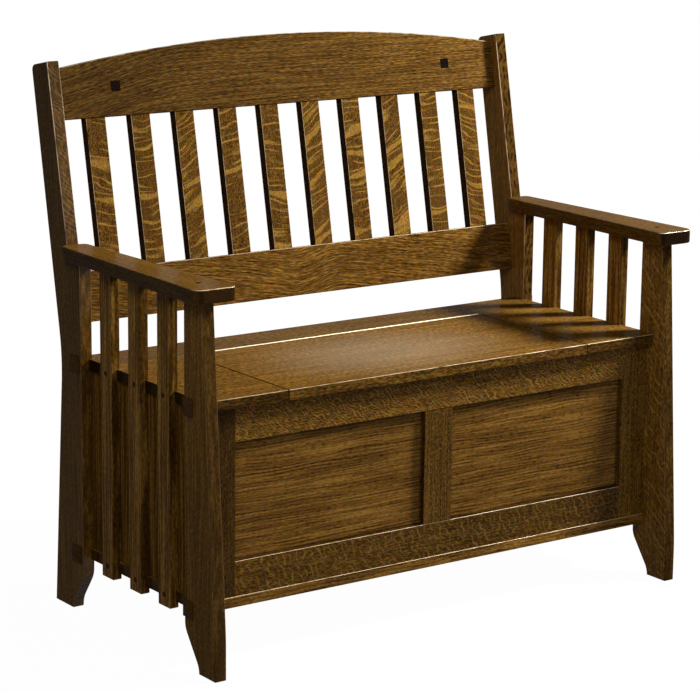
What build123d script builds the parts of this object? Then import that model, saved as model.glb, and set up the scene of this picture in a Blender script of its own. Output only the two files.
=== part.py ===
from build123d import *
import math
import os

# Settle seen from the front: X runs to the right, Y to the back, Z up, all in millimetres.
# The pieces are drawn with the floor at Z 0 and the front of the feet at Y 0.

# Overall layout
leg_span = 1016.0  # over the outer faces of the legs
leg_thickness = 24.0
inner_half = leg_span / 2 - leg_thickness
arm_height = 659.5  # top of the arms
arm_thickness = 24.0
arm_underside = arm_height - arm_thickness
seat_height = 462.0  # top of the seat
board_thickness = 19.0  # seat, bottom, frame and chest sides
seat_underside = seat_height - board_thickness
bottom_underside = 97.0
bottom_top = bottom_underside + board_thickness
rake_angle = 11.15  # degrees that the back leans
arris = 2.5  # round on the edges of legs, arms and seat
small_arris = 1.5  # round on the edges of slats and rails
overrun = 5.0  # how far cutting shapes run past a surface

# Front legs
front_leg_back = 93.0
front_leg_top_front = 38.0
front_leg_straight = 70.0  # height of the upright part of the front edge
front_leg_blend = 600.0  # radius where the front edge starts to lean
foot_run = 44.0  # how far the foot is cut in
foot_height = 82.0
foot_turn = 36.0  # degrees that the straight part of the cut leans

# Rear posts
post_front = 434.0
post_back_low = 534.5
post_splay = 4.2  # degrees that the lower back edge leans
post_kink_radius = 360.0
post_foot_run = 40.0
post_front_at_arm = 477.5
post_depth_at_arm = 60.5
post_depth_top = 57.5
post_rise = 319.6  # from the arm to the top, along the lean
post_top_radius = 10.0

# Arms
arm_front = 10.5
arm_width_front = 81.5
arm_width_back = 52.0
arm_middle = leg_span / 2 - leg_thickness / 2
arm_corner_outer = 19.0  # radius of the outer corner at the front
arm_corner_inner = 12.0
arm_corner_back = 12.0

# Side slats
slat_width = 38.0
side_slat_thickness = 17.5
side_slat_bottom = 85.0
side_slat_count = 3
slat_tenon = 8.0

# Back, measured up the lean from the top of the arms and back from the front of the posts
rail_setback = 18.0
rail_thickness = 24.0
lower_rail_drop = 139.0
lower_rail_width = 89.5
slat_length = 267.0
crest_end_width = 89.5
crest_middle_width = 128.5
back_slat_count = 10
back_slat_width = 39.4
back_slat_thickness = 19.0
back_slat_setback = 2.0  # from the face of the rails to the face of the slats
rail_tenon = 12.0
rail_tenon_thickness = 10.0
rail_tenon_share = 0.7
back_tenon_length = 10.0
back_tenon_thickness = 8.0
back_tenon_width = 28.0
peg_side = 18.0
peg_depth = 12.0
peg_proud = 0.6

# Seat
seat_front = 54.5
seat_back = 465.0
seat_end_reach = 6.0  # past the inner faces of the legs, between the slats
seat_end_width = 158.4
lid_side_gap = 2.0
hinge_line = 366.5
hinge_gap = 2.4
lid_rest_gap = 0.3
batten_width = 40.0
batten_thickness = 18.0
batten_length = 250.0
batten_inset = 125.6  # from the edge of the lid to the middle of a batten
batten_front = 100.0
bearer_width = 40.0
bearer_thickness = 20.0

# Chest
frame_front = 67.5
plinth_proud = 1.5
rail_width = 61.0
stile_width = 60.0
mullion_width = 60.0
panel_recess = 8.0
panel_thickness = 6.0
panel_groove = 7.0
frame_tenon = 15.0
frame_tenon_thickness = 8.0
mullion_tenon = 12.0
back_panel_front = 447.0
back_panel_thickness = 15.0

# Hinge
barrel_radius = 1.9
barrel_rise = 0.9  # hinge axis above the seat top
pin_radius = 0.85
pin_clearance = 0.05
leaf_thickness = 1.0
leaf_height = 16.0
knuckle_count = 21
knuckle_gap = 0.2
leaf_relief = 0.25
hinge_end_margin = 6.0
hinge_screws_per_leaf = 9
hinge_head_radius = 2.6
hinge_shank_radius = 1.4
hinge_shank_length = 14.0
hinge_screw_drop = 10.0

# Caps, plugs and screws
cap_side = 29.0
cap_edge = 3.0
cap_peak = 5.0
cap_flat_share = 0.12  # of the cap's side, left flat at its middle
cap_stub_length = 5.5
counterbore_radius = 6.0
cap_head_radius = 4.5
cap_head_height = 3.5
cap_shank_radius = 2.25
cap_shank_length = 44.0
post_cap_inset = 4.0  # from the front edge of the post to the cap
plug_radius = 4.75
plug_depth = 4.0
plug_proud = 0.4
slat_head_radius = 3.5
slat_head_height = 2.5
slat_shank_radius = 1.75
slat_shank_length = 35.0
arm_plug_setback = 66.0
arm_shank_length = 45.0
batten_screw_count = 3
batten_screw_grip = 12.0

# Sizes that follow from those above
rake_slope = math.tan(math.radians(rake_angle))
inner_width = inner_half * 2
lid_half = inner_half - seat_end_width
batten_half_pitch = lid_half - batten_inset
lower_rail_bottom = -lower_rail_drop
lower_rail_top = lower_rail_bottom + lower_rail_width
crest_bottom = lower_rail_top + slat_length
slat_face = rail_setback + back_slat_setback
back_slat_gap = (inner_width - back_slat_count * back_slat_width) / (back_slat_count + 1)
back_slat_pitch = back_slat_width + back_slat_gap
side_slat_gap = (post_front - front_leg_back - side_slat_count * slat_width) / (side_slat_count + 1)
frame_back = frame_front + board_thickness
seat_middle = seat_height - board_thickness / 2
bottom_middle = bottom_top - board_thickness / 2
lid_back = hinge_line - hinge_gap / 2
strip_front = hinge_line + hinge_gap / 2
barrel_height = seat_height + barrel_rise
hinge_half = lid_half - lid_side_gap / 2 - hinge_end_margin
sides = {"left": -1, "right": 1}

pieces = {}


def block(x_range, y_range, z_range):
    """Box between pairs of limits."""
    spans = [abs(limits[1] - limits[0]) for limits in (x_range, y_range, z_range)]
    middles = [(limits[0] + limits[1]) / 2 for limits in (x_range, y_range, z_range)]
    return Pos(*middles) * Box(*spans)


def rod(start, direction, radius, length):
    """Round bar that starts at a point and runs along a direction."""
    bar = Cylinder(radius, length, align=(Align.CENTER, Align.CENTER, Align.MIN))
    return Plane(start, z_dir=direction) * bar


def eased(solid, edges, radius):
    """Solid with a round of the given radius on some of its edges."""
    return fillet(edges, radius) if edges else solid


def mirrored(side, solid):
    """Solid drawn for the right end, or its twin for the left end."""
    return solid if side > 0 else mirror(solid, about=Plane.YZ)


def leaning(solid):
    """Solid drawn upright, with the posts' front at Y 0 and the arms' top at Z 0, set at the lean."""
    return Pos(0, post_front_at_arm, arm_height) * Rot(-rake_angle, 0, 0) * solid


def ogee(start, run, height, side):
    """Arc, straight part and arc back, which carry an upright edge sideways by run over its height."""
    turn = math.radians(foot_turn)
    sine, cosine = math.sin(turn), math.cos(turn)
    radius = (height * sine - run * cosine) / (1 - cosine) / 2
    first = JernArc(start, (0, -1), radius, side * foot_turn)
    straight = Line(first @ 1, first @ 1 + (first % 1) * (height - 2 * radius * sine) / cosine)
    second = JernArc(straight @ 1, first % 1, radius, -side * foot_turn)
    return first, straight, second


def side_board(outline):
    """Board of leg thickness at the right end, from an outline in Y and Z."""
    return extrude(Plane.YZ.offset(inner_half) * make_face(outline), leg_thickness)


def long_edges(board, skip_height):
    """Edges of a side board that don't run across it and don't lie at the height of its seat for the arm."""
    edges = board.edges().filter_by(Axis.X, reverse=True)
    return [edge for edge in edges if abs(edge.center().Z - skip_height) > arris]


def front_leg():
    """Leg with a leaning front edge and a foot cut in at the back."""
    curves = ogee((front_leg_back, foot_height), foot_run, foot_height, -1)
    foot_back = front_leg_back - foot_run
    rise = Vector(front_leg_top_front, arm_underside - front_leg_straight)
    lean = rise.normalized()
    blend = front_leg_blend * math.tan(math.atan2(rise.X, rise.Y) / 2)
    blend_top = Vector(0, front_leg_straight) + lean * blend
    blend_start = Vector(0, front_leg_straight - blend)
    outline = [
        Line((front_leg_top_front, arm_underside), (front_leg_back, arm_underside)),
        Line((front_leg_back, arm_underside), (front_leg_back, foot_height)),
        *curves,
        Line((foot_back, 0), (0, 0)),
        Line((0, 0), blend_start),
        TangentArc(blend_start, blend_top, tangent=(0, 1)),
        Line(blend_top, (front_leg_top_front, arm_underside)),
    ]
    board = side_board(outline)
    return eased(board, long_edges(board, arm_underside), arris)


def rear_post():
    """Post, upright at the front below the arm and leaning above it, with a foot cut in at the front."""
    curves = ogee((post_front, foot_height), post_foot_run, foot_height, 1)
    foot_front = post_front + post_foot_run
    shoulder = post_front_at_arm - arm_thickness * rake_slope
    lean = Vector(0, 1).rotate(Axis.Z, -rake_angle)
    across = Vector(1, 0).rotate(Axis.Z, -rake_angle)
    front_at_arm = Vector(post_front_at_arm, arm_height)
    top_front = front_at_arm + lean * post_rise
    top_back = top_front + across * post_depth_top
    high_lean = (top_back - front_at_arm - across * post_depth_at_arm).normalized()
    low_lean = Vector(0, 1).rotate(Axis.Z, post_splay)
    foot_back = Vector(post_back_low, 0)
    turn = math.radians(low_lean.get_angle(high_lean))
    reach = post_kink_radius * math.tan(turn / 2)
    back_line = top_back - foot_back
    kink_rise = back_line.cross(high_lean).Z / low_lean.cross(high_lean).Z
    kink = foot_back + low_lean * kink_rise
    kink_start = kink - low_lean * reach
    kink_end = kink + high_lean * reach
    round_start = top_back - high_lean * post_top_radius
    round_end = top_back - across * post_top_radius
    outline = [
        *curves,
        Line((foot_front, 0), foot_back),
        Line(foot_back, kink_start),
        TangentArc(kink_start, kink_end, tangent=low_lean),
        Line(kink_end, round_start),
        TangentArc(round_start, round_end, tangent=high_lean),
        Line(round_end, top_front),
        Line(top_front, (shoulder, arm_underside)),
        Line((shoulder, arm_underside), (post_front, arm_underside)),
        Line((post_front, arm_underside), (post_front, foot_height)),
    ]
    board = side_board(outline)
    return eased(board, long_edges(board, arm_underside), arris)


def arm():
    """Right arm, which narrows to the back, with rounded corners and an end cut to the lean of the post."""
    half_front = arm_width_front / 2
    half_back = arm_width_back / 2
    outline = Polyline(
        (arm_middle - half_front, arm_front),
        (arm_middle + half_front, arm_front),
        (arm_middle + half_back, post_front_at_arm),
        (arm_middle - half_back, post_front_at_arm),
        close=True,
    )
    plan = make_face(outline)
    plan = fillet(plan.vertices().sort_by(Axis.X)[-1:], arm_corner_outer)
    plan = fillet(plan.vertices().sort_by(Axis.X)[:1], arm_corner_inner)
    plan = fillet(plan.vertices().sort_by(Axis.Y)[-2:], arm_corner_back)
    board = extrude(Pos(0, 0, arm_underside) * plan, arm_thickness)
    rims = [edge for edge in board.edges() if edge.bounding_box().size.Z < arris / 2]
    board = eased(board, [edge for edge in rims if edge.center().Y < post_front_at_arm - arris], arris)
    return board


def side_slat_middle(index):
    """Y of the middle of a side slat, counted from the front."""
    return front_leg_back + side_slat_gap + slat_width / 2 + index * (slat_width + side_slat_gap)


def side_slat_blank(index):
    """Square-edged side slat at the right end, without its tenon."""
    middle = side_slat_middle(index)
    faces = (inner_half, inner_half + side_slat_thickness)
    return block(faces, (middle - slat_width / 2, middle + slat_width / 2), (side_slat_bottom, arm_underside))


def side_slat(index):
    """Side slat with eased edges and a tenon that goes up into the arm."""
    blank = side_slat_blank(index)
    edges = [edge for edge in blank.edges() if edge.center().Z < arm_underside - arris]
    middle = side_slat_middle(index)
    quarter = side_slat_thickness / 4
    tenon = block(
        (inner_half + quarter, inner_half + side_slat_thickness - quarter),
        (middle - slat_width / 4, middle + slat_width / 4),
        (arm_underside, arm_underside + slat_tenon),
    )
    return eased(blank, edges, small_arris) + tenon


def back_slat(index):
    """Back slat with a tenon at each end, set at the lean."""
    middle = (index - (back_slat_count - 1) / 2) * back_slat_pitch
    faces = (slat_face, slat_face + back_slat_thickness)
    width = (middle - back_slat_width / 2, middle + back_slat_width / 2)
    strip = block(width, faces, (lower_rail_top, crest_bottom))
    strip = eased(strip, strip.edges().filter_by(Axis.Z), small_arris)
    core = slat_face + back_slat_thickness / 2
    tenon = block(
        (middle - back_tenon_width / 2, middle + back_tenon_width / 2),
        (core - back_tenon_thickness / 2, core + back_tenon_thickness / 2),
        (lower_rail_top - back_tenon_length, crest_bottom + back_tenon_length),
    )
    return leaning(strip + tenon)


def rail_tenons(bottom, width):
    """Bar that makes the tenons at both ends of a back rail."""
    core = rail_setback + rail_thickness / 2
    margin = width * (1 - rail_tenon_share) / 2
    return block(
        (-inner_half - rail_tenon, inner_half + rail_tenon),
        (core - rail_tenon_thickness / 2, core + rail_tenon_thickness / 2),
        (bottom + margin, bottom + width - margin),
    )


def crest_rail():
    """Crest rail with a straight lower edge and an arched top."""
    ends = crest_bottom + crest_end_width
    outline = [
        Line((-inner_half, crest_bottom), (inner_half, crest_bottom)),
        Line((inner_half, crest_bottom), (inner_half, ends)),
        ThreePointArc((inner_half, ends), (0, crest_bottom + crest_middle_width), (-inner_half, ends)),
        Line((-inner_half, ends), (-inner_half, crest_bottom)),
    ]
    rail = Pos(0, rail_setback, 0) * extrude(Plane.XZ * make_face(outline), -rail_thickness)
    edges = [edge for edge in rail.edges() if edge.length > inner_half]
    return leaning(eased(rail, edges, small_arris) + rail_tenons(crest_bottom, crest_end_width))


def lower_back_rail():
    """Straight rail under the back slats."""
    faces = (rail_setback, rail_setback + rail_thickness)
    rail = block((-inner_half, inner_half), faces, (lower_rail_bottom, lower_rail_top))
    rail = eased(rail, rail.edges().filter_by(Axis.X), small_arris)
    return leaning(rail + rail_tenons(lower_rail_bottom, lower_rail_width))


def crest_pegs():
    """Two square pegs between the outer pairs of slats, halfway up the crest rail."""
    reach = (back_slat_count / 2 - 1) * back_slat_pitch
    arch = crest_middle_width - crest_end_width
    radius = (inner_half ** 2 + arch ** 2) / arch / 2
    arch_drop = radius - math.sqrt(radius ** 2 - reach ** 2)
    middle = crest_bottom + (crest_middle_width - arch_drop) / 2
    pegs = []
    for side in sides.values():
        peg = block(
            (side * reach - peg_side / 2, side * reach + peg_side / 2),
            (rail_setback - peg_proud, rail_setback + peg_depth),
            (middle - peg_side / 2, middle + peg_side / 2),
        )
        pegs.append(leaning(peg))
    return pegs


def seat_end():
    """Fixed board at the right end of the seat, eased where it shows."""
    heights = (seat_underside, seat_height)
    board = block((lid_half + lid_side_gap / 2, inner_half), (seat_front, strip_front), heights)
    front = [edge for edge in board.edges().filter_by(Axis.X) if edge.center().Y < seat_front + arris]
    inner = [edge for edge in board.edges().filter_by(Axis.Y) if edge.center().X < inner_half - arris]
    inner = [edge for edge in inner if edge.center().Z > seat_middle]
    board = eased(board, front + inner, small_arris)
    return board + block((inner_half, inner_half + seat_end_reach), (front_leg_back, strip_front), heights)


def seat_back_strip():
    """Fixed board behind the lid, notched round the posts."""
    board = block((-inner_half, inner_half), (strip_front, seat_back), (seat_underside, seat_height))
    edges = board.edges().filter_by(Axis.X).sort_by(Axis.Z)[-2:]
    board = eased(board, edges, small_arris)
    wide = (-inner_half - seat_end_reach, inner_half + seat_end_reach)
    return board + block(wide, (strip_front + arris, post_front), (seat_underside, seat_height))


def seat_lid():
    """Lid board, eased all round its top and along its front."""
    half = lid_half - lid_side_gap / 2
    board = block((-half, half), (seat_front, lid_back), (seat_underside + lid_rest_gap, seat_height))
    top = [edge for edge in board.edges() if edge.center().Z > seat_height - small_arris]
    low = [edge for edge in board.edges().filter_by(Axis.X) if edge.center().Y < seat_front + arris]
    low = [edge for edge in low if edge.center().Z < seat_middle]
    return eased(board, top + low, small_arris)


def bottom_board():
    """Bottom of the chest, wider between the legs and posts."""
    front = frame_front - plinth_proud
    board = block((-inner_half, inner_half), (front, seat_back), (bottom_underside, bottom_top))
    edges = [edge for edge in board.edges().filter_by(Axis.X) if edge.center().Y < frame_front]
    board = eased(board, edges, plinth_proud)
    wide = (-inner_half - seat_end_reach, inner_half + seat_end_reach)
    return board + block(wide, (front_leg_back, post_front), (bottom_underside, bottom_top))


def frame_bar(x_range, z_range):
    """Piece of the front frame at full thickness."""
    return block(x_range, (frame_front, frame_back), z_range)


def frame_core(x_range, z_range, thickness):
    """Tenon or panel that lies inside the thickness of the front frame."""
    start = frame_front + panel_recess
    return block(x_range, (start, start + thickness), z_range)


def front_rail(bottom, eased_height):
    """Front rail with a tenon at each end and a small round on the arris towards the panels."""
    reach = inner_half - stile_width
    rail = frame_bar((-reach, reach), (bottom, bottom + rail_width))
    edges = [edge for edge in rail.edges().filter_by(Axis.X) if edge.center().Y < frame_front + small_arris]
    edges = [edge for edge in edges if abs(edge.center().Z - eased_height) < small_arris]
    margin = rail_width * (1 - rail_tenon_share) / 2
    tenon_height = (bottom + margin, bottom + rail_width - margin)
    tenon = frame_core((-reach - frame_tenon, reach + frame_tenon), tenon_height, frame_tenon_thickness)
    return eased(rail, edges, small_arris) + tenon


def front_frame():
    """Stiles, rails, mullion and panels of the front of the chest."""
    low = bottom_top + rail_width
    high = seat_underside - rail_width
    half = mullion_width / 2
    reach = inner_half - stile_width
    mullion = frame_bar((-half, half), (low, high))
    spur = (low - mullion_tenon, high + mullion_tenon)
    mullion += frame_core((-half / 2, half / 2), spur, frame_tenon_thickness)
    frame = {
        "front_top_rail": front_rail(high, high) - mullion,
        "front_bottom_rail": front_rail(bottom_top, low) - mullion,
        "front_mullion": mullion,
    }
    for name, side in sides.items():
        stile = frame_bar(sorted((side * reach, side * inner_half)), (bottom_top, seat_underside))
        frame["front_" + name + "_stile"] = stile - frame["front_top_rail"] - frame["front_bottom_rail"]
    for name, side in sides.items():
        width = sorted((side * (half - panel_groove), side * (reach + panel_groove)))
        panel = frame_core(width, (low - panel_groove, high + panel_groove), panel_thickness)
        for member in frame:
            frame[member] = frame[member] - panel
        pieces["front_" + name + "_panel"] = panel
    pieces.update(frame)


def knuckle_span(index):
    """Start and end in X of one hinge knuckle."""
    length = 2 * hinge_half / knuckle_count
    start = -hinge_half + index * length
    return start + knuckle_gap / 2, start + length - knuckle_gap / 2


def hinge_leaf(parity, side, bore):
    """Leaf with every other knuckle, behind the axis where side is +1 and in front of it where it is -1."""
    near = side * (hinge_gap / 2 - leaf_thickness)
    far = side * hinge_gap / 2
    faces = sorted((hinge_line + near, hinge_line + far))
    plate_top = barrel_height - barrel_radius - leaf_relief
    plate_bottom = seat_height - leaf_height
    leaf = block((-hinge_half, hinge_half), faces, (plate_bottom, plate_top))
    hole = rod((-hinge_half, hinge_line, barrel_height), (1, 0, 0), bore, 2 * hinge_half)
    for index in range(parity, knuckle_count, 2):
        start, end = knuckle_span(index)
        barrel = rod((start, hinge_line, barrel_height), (1, 0, 0), barrel_radius, end - start)
        bridge = block((start, end), faces, (plate_bottom, barrel_height - bore))
        leaf = leaf + barrel + bridge
    return leaf - hole


def hinge_screw_places():
    """X of the screws along a leaf."""
    step = 2 * hinge_half / hinge_screws_per_leaf
    return [-hinge_half + step * (index + 0.5) for index in range(hinge_screws_per_leaf)]


def hinge_screws(side):
    """Screws of one leaf, with heads as thick as the leaf."""
    screws = []
    for place in hinge_screw_places():
        start = (place, hinge_line + side * (hinge_gap / 2 - leaf_thickness), seat_height - hinge_screw_drop)
        head = rod(start, (0, side, 0), hinge_head_radius, leaf_thickness)
        shank = rod(start, (0, side, 0), hinge_shank_radius, leaf_thickness + hinge_shank_length)
        screws.append(head + shank)
    return screws


def headed_screw(start, direction, head_radius, head_height, shank_radius, shank_length):
    """Screw whose head starts at a point; the shank follows the head."""
    head = rod(start, direction, head_radius, head_height)
    return head + rod(start, direction, shank_radius, head_height + shank_length)


def cap_places():
    """Y and Z of the caps: at the front legs and the posts, on the seat and on the bottom board."""
    rows = []
    for height in (seat_middle, bottom_middle):
        rows.append((front_leg_back - cap_side / 2, height))
        rows.append((post_front + post_cap_inset + cap_side / 2, height))
    return rows


def leg_cap(place):
    """Square cap with four slopes and a round stub that fills the screw's hole, at the right end."""
    face = leg_span / 2
    plane = Plane((face, *place), x_dir=(0, 1, 0), z_dir=(1, 0, 0))
    sketch = plane * Rectangle(cap_side, cap_side)
    flat = cap_side * cap_flat_share
    edge = extrude(sketch, cap_edge)
    top = plane.offset(cap_edge + cap_peak) * Rectangle(flat, flat)
    peak = loft([plane.offset(cap_edge) * Rectangle(cap_side, cap_side), top])
    return edge + peak + rod((face, *place), (-1, 0, 0), counterbore_radius, cap_stub_length)


def cap_screw(place):
    """Screw under a cap, through the leg and into the end of a board, at the right end."""
    start = (leg_span / 2 - cap_stub_length, *place)
    shank = (cap_shank_radius, cap_shank_length)
    return headed_screw(start, (-1, 0, 0), cap_head_radius, cap_head_height, *shank)


def cap_bore(place):
    """Hole for a cap's stub and its screw's head, at the right end."""
    depth = cap_stub_length + cap_head_height
    return rod((leg_span / 2 + overrun, *place), (-1, 0, 0), counterbore_radius, depth + overrun)


def slat_fixings():
    """Y and Z of the screws through the side slats."""
    heights = (seat_middle, bottom_middle)
    return [(side_slat_middle(index), height) for index in range(side_slat_count) for height in heights]


def slat_plug(place):
    """Plug over a slat screw, at the right end."""
    face = inner_half + side_slat_thickness
    return rod((face + plug_proud, *place), (-1, 0, 0), plug_radius, plug_depth + plug_proud)


def slat_screw(place):
    """Screw through a slat and into the edge of a board, at the right end."""
    start = (inner_half + side_slat_thickness - plug_depth, *place)
    shank = (slat_shank_radius, slat_shank_length)
    return headed_screw(start, (-1, 0, 0), slat_head_radius, slat_head_height, *shank)


def arm_plug():
    """Plug over the screw that holds the right arm to its front leg."""
    start = (arm_middle, arm_plug_setback, arm_height + plug_proud)
    return rod(start, (0, 0, -1), plug_radius, plug_depth + plug_proud)


def arm_screw():
    """Screw down through the right arm into its front leg."""
    start = (arm_middle, arm_plug_setback, arm_height - plug_depth)
    shank = (slat_shank_radius, arm_shank_length)
    return headed_screw(start, (0, 0, -1), slat_head_radius, slat_head_height, *shank)


def batten_screws(side):
    """Screws up through one lid batten into the lid."""
    bottom = seat_underside + lid_rest_gap - batten_thickness
    step = batten_length / batten_screw_count
    screws = []
    for index in range(batten_screw_count):
        start = (side * batten_half_pitch, batten_front + step * (index + 0.5), bottom)
        shank = (slat_shank_radius, batten_thickness - slat_head_height + batten_screw_grip)
        screws.append(headed_screw(start, (0, 0, 1), slat_head_radius, slat_head_height, *shank))
    return screws


def without(piece, cutters):
    """Piece with other shapes cut out of it."""
    for cutter in cutters:
        piece = piece - cutter
    return piece


def build_ends():
    """Legs, posts, arms, side slats, caps and fixings of both ends, drawn at the right and mirrored."""
    blanks = [side_slat_blank(index) for index in range(side_slat_count)]
    slats = [side_slat(index) for index in range(side_slat_count)]
    screws = [cap_screw(place) for place in cap_places()]
    bores = [cap_bore(place) for place in cap_places()]
    pins = [slat_screw(place) for place in slat_fixings()]
    plugs = [slat_plug(place) for place in slat_fixings()]
    rails = [pieces["crest_rail"], pieces["lower_back_rail"]]
    ends = {
        "front_leg": without(front_leg(), bores + screws + [arm_screw()]),
        "rear_post": without(rear_post(), bores + screws + rails),
        "arm": without(arm(), slats + [arm_screw(), arm_plug(), leaning_post_blank()]),
        "seat_end": without(seat_end(), blanks + screws + pins),
        "side_panel": block(
            (inner_half - board_thickness, inner_half),
            (frame_back, back_panel_front),
            (bottom_top, seat_underside),
        ),
        "lid_bearer": block(
            (lid_half - bearer_width / 2, lid_half + bearer_width / 2),
            (frame_back, back_panel_front),
            (seat_underside - bearer_thickness, seat_underside),
        ),
    }
    for index, slat in enumerate(slats):
        ends["side_slat_" + str(index + 1)] = without(slat, pins + plugs)
    for name, side in sides.items():
        for node, piece in ends.items():
            pieces[name + "_" + node] = mirrored(side, piece)
        pieces[name + "_leg_caps"] = [mirrored(side, leg_cap(place)) for place in cap_places()]
    pieces["slat_plugs"] = [mirrored(side, plug) for side in sides.values() for plug in plugs]
    pieces["slat_screws"] = [mirrored(side, pin) for side in sides.values() for pin in pins]
    pieces["cap_screws"] = [mirrored(side, screw) for side in sides.values() for screw in screws]
    pieces["arm_plugs"] = [mirrored(side, arm_plug()) for side in sides.values()]
    pieces["arm_screws"] = [mirrored(side, arm_screw()) for side in sides.values()]
    cutters = [mirrored(side, cutter) for side in sides.values() for cutter in blanks + screws + pins]
    pieces["seat_back_strip"] = without(seat_back_strip(), cutters + pieces["hinge_fixed_screws"])
    pieces["bottom_board"] = without(bottom_board(), cutters)


def leaning_post_blank():
    """Space of the leaning part of the post, which cuts the arm's end to its lean."""
    return leaning(block((0, leg_span), (0, leg_span), (-leg_span, leg_span)))


def build_back():
    """Crest rail, lower rail, slats and pegs of the back."""
    slats = [back_slat(index) for index in range(back_slat_count)]
    pegs = crest_pegs()
    pieces["crest_rail"] = without(crest_rail(), slats + pegs)
    pieces["lower_back_rail"] = without(lower_back_rail(), slats)
    pieces["crest_pegs"] = pegs
    for index, slat in enumerate(slats):
        pieces["back_slat_" + str(index + 1).zfill(2)] = slat


def build_lid():
    """Lid, its battens and screws, and the hinge."""
    pieces["hinge_fixed_screws"] = hinge_screws(1)
    pieces["hinge_lid_screws"] = hinge_screws(-1)
    pieces["hinge_fixed_leaf"] = without(hinge_leaf(0, 1, pin_radius), pieces["hinge_fixed_screws"])
    moving = hinge_leaf(1, -1, pin_radius + pin_clearance)
    pieces["hinge_moving_leaf"] = without(moving, pieces["hinge_lid_screws"])
    pieces["hinge_pin"] = rod((-hinge_half, hinge_line, barrel_height), (1, 0, 0), pin_radius, 2 * hinge_half)
    lid_screws = []
    for name, side in sides.items():
        middle = side * batten_half_pitch
        top = seat_underside + lid_rest_gap
        batten = block(
            (middle - batten_width / 2, middle + batten_width / 2),
            (batten_front, batten_front + batten_length),
            (top - batten_thickness, top),
        )
        screws = batten_screws(side)
        pieces[name + "_lid_batten"] = without(batten, screws)
        lid_screws += screws
    pieces["batten_screws"] = lid_screws
    pieces["seat_lid"] = without(seat_lid(), lid_screws + pieces["hinge_lid_screws"])


def solids_of(piece):
    """All solids of a node, which is one shape or a list of shapes."""
    shapes = piece if isinstance(piece, list) else [piece]
    return [solid for shape in shapes for solid in shape.solids()]


build_back()
build_lid()
front_frame()
build_ends()
pieces["chest_back_panel"] = block(
    (-inner_half, inner_half),
    (back_panel_front, back_panel_front + back_panel_thickness),
    (bottom_top, seat_underside),
)

nodes = {name: Compound(solids_of(piece)) for name, piece in pieces.items()}
box = Compound(list(nodes.values())).bounding_box()
to_middle = Pos(0, -box.center().Y, 0)

os.makedirs("parts", exist_ok=True)
for name, node in nodes.items():
    export_step(to_middle * node, "parts/" + name + ".step")

print("nodes", len(nodes))
print("size", [round(value, 1) for value in box.size])
print("hinge axis y, z", round(hinge_line - box.center().Y, 3), round(barrel_height, 3))
print("front foot y", round(-box.center().Y, 3))
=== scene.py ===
# %% [markdown]
# # A mission settle in fumed oak
#
# The settle is a bench with a chest under its seat: two board legs and two raked posts, ten back slats,
# three slats under each arm, and a lid that swings up on a long brass hinge. Its boards come from the
# CAD frame as they are, so this lesson is about the rest: where the camera stands, how the light falls,
# and how one oak can look different on a slat, a rail, a panel and a seat.

# %% The packed settle
import math

import bpy
import numpy as np
from mathutils import Matrix, Vector


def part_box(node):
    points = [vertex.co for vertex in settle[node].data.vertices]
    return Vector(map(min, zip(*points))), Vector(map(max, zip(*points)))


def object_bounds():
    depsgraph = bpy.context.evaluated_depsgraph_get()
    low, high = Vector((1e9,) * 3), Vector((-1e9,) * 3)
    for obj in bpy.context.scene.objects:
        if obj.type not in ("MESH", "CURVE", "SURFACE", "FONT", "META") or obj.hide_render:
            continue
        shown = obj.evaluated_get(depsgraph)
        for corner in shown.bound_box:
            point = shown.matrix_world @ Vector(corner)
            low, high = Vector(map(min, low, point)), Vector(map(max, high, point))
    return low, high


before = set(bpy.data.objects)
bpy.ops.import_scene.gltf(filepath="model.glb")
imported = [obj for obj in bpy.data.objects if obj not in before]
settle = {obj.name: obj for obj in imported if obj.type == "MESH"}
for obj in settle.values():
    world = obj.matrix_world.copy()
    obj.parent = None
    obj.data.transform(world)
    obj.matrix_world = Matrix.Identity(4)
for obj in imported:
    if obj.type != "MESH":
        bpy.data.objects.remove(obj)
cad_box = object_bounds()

print("boards and fittings in the frame:", len(settle))

# %% [markdown]
# ## The camera
#
# The picture was taken from the front left, a little above the arms, with a long lens. A camera can be
# put in place by hand, or worked out from points whose place on the real object is known. The second way
# was used: the corners of legs, arms, slats and panels were matched with the frame, and the place, the
# two angles, the slight tilt and the lens came out of that. The picture's centre is the lens's centre,
# so the camera needs no shift.

# %% The camera
CAMERA_PLACE = Vector((-2.6595, -3.6885, 1.4617))
CAMERA_TURN = math.radians(-35.494)
CAMERA_RISE = math.radians(-12.506)
CAMERA_TILT = math.radians(0.607)
LENS_IN_PICTURE_WIDTHS = 2568.7 / 700

camera_data = bpy.data.cameras.new("picture_camera")
camera_data.sensor_width = 36.0
camera_data.lens = LENS_IN_PICTURE_WIDTHS * camera_data.sensor_width
camera = bpy.data.objects.new("picture_camera", camera_data)
bpy.context.scene.collection.objects.link(camera)
turned = (
    Matrix.Rotation(CAMERA_TURN, 4, "Z")
    @ Matrix.Rotation(math.pi / 2 + CAMERA_RISE, 4, "X")
    @ Matrix.Rotation(CAMERA_TILT, 4, "Z")
)
camera.matrix_world = Matrix.Translation(CAMERA_PLACE) @ turned
bpy.context.scene.camera = camera
bpy.context.scene.view_settings.view_transform = "Standard"
print("lens, mm:", round(camera_data.lens, 1))

# %% [markdown]
# ## Writing finishes as sums
#
# A finish is a tree of nodes, and a long tree is hard to read as node calls. The small class below wraps
# one socket, so that a sum such as `1 - pores * 0.6` adds the Math nodes itself. Every other node comes
# from `add`, which takes the node's type, its settings and the values or links of its sockets.


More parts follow.
